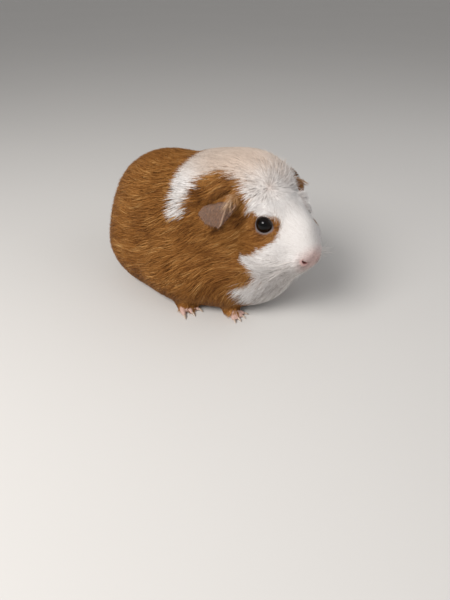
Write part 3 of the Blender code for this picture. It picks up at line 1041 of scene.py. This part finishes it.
def growLock(rule, side):
    count = rule["count"]
    along, way = [unit(np.array(rule[key]) * [side, 1, 1]) @ headRows for key in ("along", "way")]
    spot = fromHead(np.array(rule["spot"]) * [side, 1, 1])
    usual, limit = lockShape["scatter"]
    aim = np.clip(dice.normal(0, usual, (count, 2)), -limit, limit)
    _, near = ontoSkin(spot[None])
    across = unit(np.cross(calmNormals[near[0]], along))
    start = spot + aim[:, :1] * rule["reach"][1] * mm * along + aim[:, 1:] * (
        rule["reach"][0] * mm) * across
    roots, near = ontoSkin(start)
    normal = calmNormals[near]
    ways = way - normal * dots(normal, np.broadcast_to(way, normal.shape))[:, None]
    angle = np.radians(dice.normal(0, rule["fan"] * 0.5, count) + rule["fan"] * 0.5 * aim[:, 0])
    ways = turned(unit(ways), normal, angle)
    reach = rule.get("far", 1) if side > 0 else 1
    kept, shrinks = lockShape["farLength"]
    length = rule["length"] * dice.uniform(*lockShape["length"], count) * (kept + shrinks * reach) * mm
    low, high = rule["lift"]
    lift = dice.uniform(low, high, count) * reach * mm
    cover = depth[near] * mm
    middle, mid = ontoSkin(roots + ways * (length * 0.5)[:, None])
    middle = middle + calmNormals[mid] * (cover * lockShape["cover"] + lift * lockShape["lift"])[:, None]
    tip, last = roots + ways * length[:, None], mid
    if rule["length"] < lockShape["whisker"]:
        tip, last = ontoSkin(tip)
        cover = depth[last] * mm
    tip = tip + calmNormals[last] * (cover + lift)[:, None]
    hair = {"root": roots - normal * lockShape["rootDepth"], "middle": middle, "tip": tip,
            "normal": normal, "middleNormal": calmNormals[mid], "tipNormal": calmNormals[last],
            "width": rule["width"] * dice.uniform(*coatRules["width"], count),
            # lock tones lowered where shade is painted, as on the coat
            "tone": dice.uniform(*rule["tone"], count) - lockShape["paintedShade"] * paintedShadeOf(middle),
            "calm": lockShape["calm"] * whiteOf(roots) * (toHead(roots)[:, 2] > 0),
            "cream": creamOf(roots), "pink": pinkOf(roots), "place": vertexPlaces[near]}
    hair["white"] = (np.full(count, rule["white"]) if "white" in rule
                     else crispWhite(middle + dice.normal(0, lockShape["fray"], (count, 3)) * mm))
    clear = ~(openEye(middle) | openEye(tip, lockShape["lidSlack"]))
    return {key: value[clear] for key, value in hair.items()}


earHairRules = {
    "count": 3000,
    "turn": 16,
    "length": (1.4, 2.6),
    "width": (0.09, 0.15),
    "tone": (0.1, 0.8),
    "white": (0.05, 0.55),
    "lift": (0.16, 0.22),       # at the middle and at the tip
}


def growEarHairs():
    rules = earHairRules
    count = rules["count"]
    faces, shares = sowRoots(bare * isEar, count)
    roots = readAt(skinPoints, faces, shares)
    normal = unit(readAt(skinNormals, faces, shares))
    sideways, back, up = earSizes["hang"]
    side = np.sign(toHead(roots)[:, :1])
    way = unit(np.concatenate([side * sideways, side * 0 + back, side * 0 + up], axis=1)) @ headRows
    way = unit(way - normal * dots(way, normal)[:, None])
    way = turned(way, normal, np.radians(dice.normal(0, rules["turn"], count)))
    length = dice.uniform(*rules["length"], count) * mm
    middle = roots + way * (length * 0.5)[:, None] + normal * (rules["lift"][0] * mm)
    tip = roots + way * length[:, None] + normal * (rules["lift"][1] * mm)
    ones = np.ones(count)
    return {"root": roots - normal * (0.1 * mm), "middle": middle, "tip": tip, "normal": normal,
            "middleNormal": normal, "tipNormal": normal, "width": dice.uniform(*rules["width"], count),
            "tone": dice.uniform(*rules["tone"], count), "cream": ones,
            "white": dice.uniform(*rules["white"], count), "pink": ones, "calm": ones * 0,
            "place": placeAt(faces, shares)}


# a tuft is a thin three-sided blade: three corners at its root, three at its middle and a tip
strand = np.array([(0, 5, 3), (0, 2, 5), (2, 4, 5), (2, 1, 4), (1, 3, 4), (1, 0, 3), (0, 1, 2),
                   (3, 5, 6), (5, 4, 6), (4, 3, 6)])
strandAlong = np.array([0, 0, 0, 0.5, 0.5, 0.5, 1.0])
strandAcross = np.array([-0.5, 0.5, 0, -0.5, 0.5, 0, 0])
strandShape = {"rootWidth": 0.7, "ridge": 0.9, "tipTurn": 0.3, "floorGap": 0.3 * mm}
partReach = {"rump": 62, "low": 22, "neck": -15, "crown": 78, "cheek": 60, "muzzle": 27}


def fillAttribute(mesh, name, values):
    layer = mesh.attributes.new(name, "FLOAT", "POINT")
    layer.data.foreach_set("value", values.astype(np.float32).ravel())


def buildTufts(name, hair):
    count = len(hair["root"])
    root, middle, tip = hair["root"], hair["middle"], hair["tip"]
    half = (hair["width"] * mm / 2)[:, None]
    way = unit(middle - root)
    across = unit(np.cross(way, hair["normal"]))
    up = np.cross(across, way)
    wayTip = unit(tip - middle)
    foot = across * half * strandShape["rootWidth"]
    acrossTip = unit(np.cross(unit(way + wayTip), hair["normal"]))
    upTip = np.cross(acrossTip, unit(way + wayTip))
    spots = np.stack([root - foot, root + foot, root + up * half,
                      middle - acrossTip * half, middle + acrossTip * half,
                      middle + upTip * half * strandShape["ridge"], tip], axis=1).reshape(-1, 3)
    spots[:, 2] = np.maximum(spots[:, 2], strandShape["floorGap"])
    firsts = np.arange(count) * len(strandAlong)
    faces = (strand[None] + firsts[:, None, None]).reshape(-1, 3)
    mesh = bpy.data.meshes.new(name)
    mesh.vertices.add(len(spots))
    mesh.vertices.foreach_set("co", spots.astype(np.float32).ravel())
    mesh.loops.add(faces.size)
    mesh.loops.foreach_set("vertex_index", faces.astype(np.int32).ravel())
    mesh.polygons.add(len(faces))
    mesh.polygons.foreach_set("loop_start", np.arange(0, faces.size, 3, dtype=np.int32))
    layer = mesh.uv_layers.new(name="OFBake")
    flat = np.stack([strandAcross, strandAlong - 0.5], axis=1) * coatRules["patch"]
    places = hair["place"][:, None, :] + flat[None]
    places = places[np.arange(count)[:, None], strand.ravel()[None]]
    layer.data.foreach_set("uv", places.astype(np.float32).ravel())
    fillAttribute(mesh, "along", np.tile(strandAlong, count))
    for key in ("tone", "white", "cream", "pink"):
        fillAttribute(mesh, key, np.repeat(hair[key], len(strandAlong)))
    mesh.update(calc_edges=True)
    mesh.shade_smooth()
    own = np.stack([-across, across, up, -acrossTip, acrossTip, upTip,
                    wayTip * strandShape["tipTurn"]], axis=1)
    calm = np.stack([hair["normal"]] * 3 + [hair["middleNormal"]] * 3 + [hair["tipNormal"]], axis=1)
    share = (coatRules["ownNormal"] - coatRules["calmNormal"] * hair["calm"])[:, None, None]
    leaning = unit(own * share + calm * (1 - share))
    mesh.normals_split_custom_set_from_vertices(leaning.reshape(-1, 3).astype(np.float32))
    piece = newPiece(name, mesh)
    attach(piece, "root")
    return piece


def coatParts(hair):
    # which part of the animal each tuft grows on
    side = toHead(hair["root"])[:, 0]
    far = fromNose(hair["root"])
    x, y, z = (hair["root"] / mm).T
    part = np.where(x < 0, "FlankRight", "FlankLeft").astype(object)
    part[y > partReach["rump"]] = "Rump"
    part[z < partReach["low"]] = "Belly"
    part[(y < partReach["neck"]) & (z >= partReach["low"])] = "Neck"
    part[far < partReach["crown"]] = "Crown"
    part[(far < partReach["cheek"]) & (side < 0)] = "CheekRight"
    part[(far < partReach["cheek"]) & (side >= 0)] = "CheekLeft"
    part[far < partReach["muzzle"]] = "Muzzle"
    return part


hairs = growCoat(coatRules["tufts"])
coatPieces = []
part = coatParts(hairs)
for name in sorted(set(part)):
    chosen = np.flatnonzero(part == name)
    shares = np.array_split(chosen, math.ceil(len(chosen) / coatRules["pieceLimit"]))
    for number, share in enumerate(shares):
        label = f"coat{name}{number + 1}" if len(shares) > 1 else f"coat{name}"
        piece = buildTufts(label, {key: value[share] for key, value in hairs.items()})
        coatPieces.append(piece)
        print(label, len(share), "tufts")
for name, rule in lockRules.items():
    sides = (rule["side"],) if "side" in rule else (-1, 1)
    grown = [growLock(rule, side) for side in sides]
    merged = {key: np.concatenate([one[key] for one in grown]) for key in grown[0]}
    piece = buildTufts("lock" + name[0].upper() + name[1:], merged)
    coatPieces.append(piece)
earHairs = buildTufts("coatEars", growEarHairs())
coatPieces.append(earHairs)
print("locks and ear hairs grown")
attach(skin, "root")
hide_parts(*bodyNodes, *earNodes, *footNodes)


def newNode(tree, kind, inputs=None, **settings):
    made = tree.nodes.new(kind)
    for key, value in settings.items():
        setattr(made, key, value)
    for key, value in (inputs or {}).items():
        if isinstance(value, bpy.types.NodeSocket):
            tree.links.new(value, made.inputs[key])
        else:
            made.inputs[key].default_value = value
    return made


def mathNode(tree, operation, first, second=0.0, third=0.0):
    made = newNode(tree, "ShaderNodeMath", {0: first, 1: second, 2: third}, operation=operation)
    return made.outputs[0]


def mixNode(tree, share, first, second, blend="MIX"):
    first, second = [(*color, 1) if isinstance(color, tuple) else color for color in (first, second)]
    made = newNode(tree, "ShaderNodeMix", {0: share, 6: first, 7: second}, data_type="RGBA",
                   blend_type=blend)
    return made.outputs[2]


def rampNode(tree, share, stops):
    made = newNode(tree, "ShaderNodeValToRGB", {0: share})
    marks = made.color_ramp.elements
    while len(marks) < len(stops):
        marks.new(0.5)
    for mark, (spot, color) in zip(marks, stops):
        mark.position = spot
        mark.color = (*color, 1)
    return made.outputs[0]


def newGroup(name, inputs, outputs):
    tree = bpy.data.node_groups.new(name, "ShaderNodeTree")
    for label, (kind, value) in inputs.items():
        socket = tree.interface.new_socket(label, in_out="INPUT", socket_type=kind)
        socket.default_value = value
    for label, kind in outputs.items():
        tree.interface.new_socket(label, in_out="OUTPUT", socket_type=kind)
    return tree, tree.nodes.new("NodeGroupInput").outputs, tree.nodes.new("NodeGroupOutput").inputs


number, tint = "NodeSocketFloat", "NodeSocketColor"
coatColors = {
    # ginger by tone; its darkest stops serve the painted shade as well as the darkest tufts
    "ginger": [(0.0, (0.050, 0.018, 0.004)), (0.14, (0.110, 0.038, 0.007)), (0.4, (0.235, 0.092, 0.019)),
               (0.75, (0.38, 0.172, 0.045)), (1.0, (0.60, 0.35, 0.13))],
    "gingerRoots": (0.55, 0.44, 0.34),
    "white": [(0.0, (0.36, 0.32, 0.30)), (0.35, (0.69, 0.655, 0.635)), (1.0, (0.88, 0.86, 0.85))],
    "whiteRoots": (0.84, 0.77, 0.735),
    "cream": (0.90, 0.77, 0.665),
    "pink": (0.94, 0.73, 0.71),
}


def buildCoatColor():
    tree, given, out = newGroup(
        "coatColor", {"Tone": (number, 0.5), "Along": (number, 1.0), "White": (number, 0.0),
                      "Cream": (number, 0.0), "Pink": (number, 0.0)}, {"Color": tint})
    place = newNode(tree, "ShaderNodeTexCoord").outputs["Object"]
    drift = newNode(tree, "ShaderNodeTexNoise", {"Vector": place, "Scale": 70.0, "Detail": 2.0})
    tone = mathNode(tree, "MULTIPLY_ADD", drift.outputs["Fac"], 0.24, mathNode(
        tree, "SUBTRACT", given["Tone"], 0.12))
    ginger = rampNode(tree, tone, coatColors["ginger"])
    white = rampNode(tree, tone, coatColors["white"])
    for label, key in (("Cream", "cream"), ("Pink", "pink")):
        tinted = mixNode(tree, given[label], (1, 1, 1), coatColors[key])
        white = mixNode(tree, 1.0, white, tinted, "MULTIPLY")
    rooted = mathNode(tree, "POWER", given["Along"], 0.7)
    gingerDark = mixNode(tree, rooted, coatColors["gingerRoots"], (1, 1, 1))
    whiteDark = mixNode(tree, rooted, coatColors["whiteRoots"], (1, 1, 1))
    ginger = mixNode(tree, 1.0, ginger, gingerDark, "MULTIPLY")
    white = mixNode(tree, 1.0, white, whiteDark, "MULTIPLY")
    tree.links.new(mixNode(tree, given["White"], ginger, white), out["Color"])
    return tree


def buildGrain():
    tree, given, out = newGroup("skinGrain", {"Size": (number, 900.0), "Crease": (number, 0.5)},
                                {"Height": number, "Mask": number})
    place = newNode(tree, "ShaderNodeTexCoord").outputs["Object"]
    cells = newNode(tree, "ShaderNodeTexVoronoi", {"Vector": place, "Scale": given["Size"]})
    fine = newNode(tree, "ShaderNodeTexNoise", {"Vector": place, "Scale": given["Size"],
                                                "Detail": 4.0})
    height = mathNode(tree, "MULTIPLY_ADD", cells.outputs["Distance"], given["Crease"],
                      fine.outputs["Fac"])
    broad = newNode(tree, "ShaderNodeTexNoise", {"Vector": place, "Scale": 160.0, "Detail": 3.0})
    tree.links.new(height, out["Height"])
    tree.links.new(broad.outputs["Fac"], out["Mask"])
    return tree


coatColorGroup = buildCoatColor()
grainGroup = buildGrain()


def newMaterial(name, roughness, specular=0.5, coat=0.0):
    material = bpy.data.materials.new(name)
    material.use_nodes = True
    tree = material.node_tree
    shader = tree.nodes["Principled BSDF"]
    shader.inputs["Roughness"].default_value = roughness
    shader.inputs["Specular IOR Level"].default_value = specular
    shader.inputs["Coat Weight"].default_value = coat
    shader.inputs["Coat Roughness"].default_value = 0.04
    return material, tree, shader


def readAttribute(tree, name):
    return newNode(tree, "ShaderNodeAttribute", attribute_name=name).outputs["Fac"]


def placeGroup(tree, group, inputs):
    return newNode(tree, "ShaderNodeGroup", inputs, node_tree=group).outputs


def placeCoatColor(tree, tone, along):
    inputs = {label: readAttribute(tree, label.lower()) for label in ("White", "Cream", "Pink")}
    return placeGroup(tree, coatColorGroup, {"Tone": tone, "Along": along, **inputs})["Color"]


def addBump(tree, shader, height, strength, distance):
    bump = newNode(tree, "ShaderNodeBump", {"Strength": strength, "Distance": distance,
                                            "Height": height})
    tree.links.new(bump.outputs["Normal"], shader.inputs["Normal"])


def makeCoatMaterial():
    material, tree, shader = newMaterial("coatHair", 0.6, 0.13)
    color = placeCoatColor(tree, readAttribute(tree, "tone"), readAttribute(tree, "along"))
    tree.links.new(color, shader.inputs["Base Color"])
    return material


skinColors = {
    "ear": (0.170, 0.108, 0.078),
    "earDark": (0.088, 0.053, 0.038),
    # the ear's front panel darkened as painted shade under the fold, and a painted highlight along the
    # fold's edge
    "earFront": (0.060, 0.034, 0.024),
    "earRim": (0.50, 0.36, 0.26),
    "nose": (0.56, 0.35, 0.33),
    # the nostril's opening: darker skin with painted shade in it
    "pit": (0.150, 0.042, 0.038),
    # the lid ring: its upper half dark skin with painted shade from the brow, its lower half paler
    "lid": (0.030, 0.020, 0.016),
    "lidLow": (0.118, 0.091, 0.088),
    "foot": (0.52, 0.34, 0.29),
}


def makeSkinMaterial():
    material, tree, shader = newMaterial("furredSkin", 0.6, 0.3)
    grain = placeGroup(tree, grainGroup, {"Size": 1100.0, "Crease": 0.6})
    color = placeCoatColor(tree, grain["Mask"], 0.35)
    ear = mixNode(tree, grain["Mask"], skinColors["earDark"], skinColors["ear"])
    # painted shade on the ear's front panel and a painted highlight along its fold
    for mask in ("earFront", "earRim"):
        ear = mixNode(tree, readAttribute(tree, mask), ear, skinColors[mask])
    color = mixNode(tree, readAttribute(tree, "ear"), color, ear)
    for mask in ("foot", "nose"):
        color = mixNode(tree, readAttribute(tree, mask), color, skinColors[mask])
    # the lid ring, darker on top with painted shade from the brow, paler below
    lid = mixNode(tree, readAttribute(tree, "lidLow"), skinColors["lid"], skinColors["lidLow"])
    color = mixNode(tree, readAttribute(tree, "lid"), color, lid)
    # painted shade in the nostril's opening, over its darker skin
    color = mixNode(tree, readAttribute(tree, "pit"), color, skinColors["pit"])
    tree.links.new(color, shader.inputs["Base Color"])
    addBump(tree, shader, grain["Height"], 0.35, 0.4 * mm)
    return material


eyeStops = [(0.0, (0.001, 0.001, 0.001)), (0.34, (0.0015, 0.001, 0.001)),
            (0.42, (0.006, 0.003, 0.002)), (0.60, (0.004, 0.0025, 0.002)),
            (0.70, (0.012, 0.009, 0.008))]      # from the pupil to the white of the eye
clawColors = ((0.30, 0.21, 0.15), (0.62, 0.50, 0.40))


def makeEyeMaterial():
    material, tree, shader = newMaterial("eyeball", 0.15, 0.08, 0.3)
    place = newNode(tree, "ShaderNodeTexCoord").outputs["Object"]
    fleck = newNode(tree, "ShaderNodeTexNoise", {"Vector": place, "Scale": 1400.0, "Detail": 3.0})
    ring = readAttribute(tree, "ring")
    wobble = mathNode(tree, "MULTIPLY_ADD", fleck.outputs["Fac"], 0.06, ring)
    tree.links.new(rampNode(tree, wobble, eyeStops), shader.inputs["Base Color"])
    return material


def makeClawMaterial():
    material, tree, shader = newMaterial("clawHorn", 0.35, 0.5)
    grain = placeGroup(tree, grainGroup, {"Size": 2400.0, "Crease": 0.2})
    tree.links.new(mixNode(tree, grain["Mask"], *clawColors), shader.inputs["Base Color"])
    addBump(tree, shader, grain["Height"], 0.25, 0.2 * mm)
    return material


coatMaterial = makeCoatMaterial()
for piece in coatPieces:
    piece.data.materials.append(coatMaterial)


def skinMasks():
    head = halfHead(skinPoints)
    start, end = [earLine(row, earSizes["fold"]) for row in ("root", "edge")]
    forward = unit(np.cross(unit(end - start), earSizes["outward"]))
    beyond = (head - start) @ forward
    nostril = nostrilReach(skinPoints)
    lip, _ = alongPath(head[:, [0, 2]], noseSizes["lip"])
    masks = {"white": white, "cream": cream, "pink": pinkOf(skinPoints), "ear": bare * isEar,
             # the ear's front panel for painted shade, and its fold's edge for a painted highlight
             "earFront": ramp(beyond, 0.5, 1.1), "earRim": np.exp(-(beyond / 0.55) ** 2) * 0.85,
             "foot": bare * ~isEar, "pit": 1 - ramp(nostril, -0.3, 0.35),
             "nose": np.maximum(1 - ramp(nostril, 0.8, 3.2),
                                (1 - ramp(lip, 0.9, 2.4)) * (head[:, 1] < -48))}
    lid, low = np.zeros(len(skinPoints)), np.zeros(len(skinPoints))
    for name in eyeMiddles:
        polar, around, far = eyeAngles(skinPoints, name)
        beyond = polar - lidOpening(around)
        lid = np.maximum(lid, (1 - ramp(beyond, 3.0, 5.5)) * (1 - ramp(far, 7.7, 8.5)))
        low = np.maximum(low, (1 - ramp(np.sin(np.radians(around)), -0.35, 0.35)) * (far < 12))
    return {**masks, "lid": lid, "lidLow": low}


for name, values in skinMasks().items():
    fillAttribute(skin.data, name, np.asarray(values, float))
skin.data.materials.clear()
skin.data.materials.append(makeSkinMaterial())
skin.data.shade_smooth()


eyeSizes = {"segments": 56, "rings": 36, "cornea": 0.45 * mm, "corneaEdge": 40}


def makeEyes():
    material = makeEyeMaterial()
    for name, middle in eyeMiddles.items():
        ball = bmesh.new()
        bmesh.ops.create_uvsphere(ball, u_segments=eyeSizes["segments"],
                                  v_segments=eyeSizes["rings"], radius=headSizes["eyeRadius"])
        axis, ahead, up = eyeFrame(name)
        turn = Matrix((ahead, np.cross(axis, ahead), axis)).transposed().to_4x4()
        bmesh.ops.transform(ball, matrix=Matrix.Translation(middle) @ turn, verts=ball.verts)
        mesh = meshOf(ball, name + "Eye")
        points = meshPoints(mesh)
        polar, _, far = eyeAngles(points, name)
        bulge = eyeSizes["cornea"] * (1 - ramp(polar, 12, eyeSizes["corneaEdge"]))
        points += unit(points - np.array(middle)) * bulge[:, None]
        movePoints(mesh, points)
        fillAttribute(mesh, "ring", polar / 90)
        mesh.materials.append(material)
        mesh.shade_smooth()
        piece = newPiece("eyeball" + name.capitalize(), mesh)
        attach(piece, "root")
        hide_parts("eye_" + name)


makeEyes()
clawMaterial = makeClawMaterial()
for name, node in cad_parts.items():
    if name.startswith("claw"):
        node.data.materials.clear()
        node.data.materials.append(clawMaterial)


studio = {
    "floorReach": 6.0,
    "floorColor": (0.60, 0.58, 0.56),
    "world": 0.38,
    "centre": (0, 0, 0.06),
    "right": (0.643, -0.766, 0),        # the camera's right, and its way ahead over the floor
    "ahead": (0.766, 0.643, 0),
    "keyLight": dict(right=-0.42, ahead=-0.52, up=0.62, power=8.6, size=0.42,
                     color=(1.0, 0.985, 0.96)),
    "fillLight": dict(right=0.8, ahead=-0.15, up=0.45, power=2.3, size=0.9,
                      color=(0.95, 0.97, 1.0)),
    "lens": 25.98,
    "cameraFromHead": (-0.2484, -0.1746, 0.150),
    "cameraTurn": (52, 0, -50),
}


def makeFloor():
    shell = bmesh.new()
    bmesh.ops.create_grid(shell, x_segments=24, y_segments=24, size=studio["floorReach"])
    mesh = meshOf(shell, "floor")
    material, tree, shader = newMaterial("floorPaper", 0.9, 0.2)
    place = newNode(tree, "ShaderNodeTexCoord").outputs["Object"]
    fleck = newNode(tree, "ShaderNodeTexNoise", {"Vector": place, "Scale": 3.0, "Detail": 3.0})
    shades = [tuple(part * share for part in studio["floorColor"]) for share in (0.98, 1.02)]
    color = mixNode(tree, fleck.outputs["Fac"], *shades)
    tree.links.new(color, shader.inputs["Base Color"])
    mesh.materials.append(material)
    newPiece("floor", mesh)


def makeLight(name):
    rule = studio[name]
    lamp = bpy.data.lights.new(name, "AREA")
    lamp.energy, lamp.size, lamp.color = rule["power"], rule["size"], rule["color"]
    made = bpy.data.objects.new(name, lamp)
    centre, right, ahead = [Vector(studio[key]) for key in ("centre", "right", "ahead")]
    spot = centre + right * rule["right"] + ahead * rule["ahead"] + Vector((0, 0, rule["up"]))
    made.location = spot
    made.rotation_mode = "QUATERNION"
    made.rotation_quaternion = (centre - spot).to_track_quat("-Z", "Y")
    bpy.context.scene.collection.objects.link(made)


makeFloor()
makeLight("keyLight")
makeLight("fillLight")
world = bpy.data.worlds.new("studio")
world.use_nodes = True
world.node_tree.nodes["Background"].inputs["Color"].default_value = (1, 1, 1, 1)
world.node_tree.nodes["Background"].inputs["Strength"].default_value = studio["world"]
bpy.context.scene.world = world

lens = bpy.data.cameras.new("camera")
lens.sensor_fit, lens.sensor_width, lens.lens = "AUTO", 36, studio["lens"]
lens.clip_start, lens.clip_end = 0.01, 50
camera = bpy.data.objects.new("camera", lens)
camera.location = headPivot + Vector(studio["cameraFromHead"])
camera.rotation_euler = [math.radians(angle) for angle in studio["cameraTurn"]]
bpy.context.scene.collection.objects.link(camera)
bpy.context.scene.camera = camera
bpy.context.scene.view_settings.view_transform = "Standard"
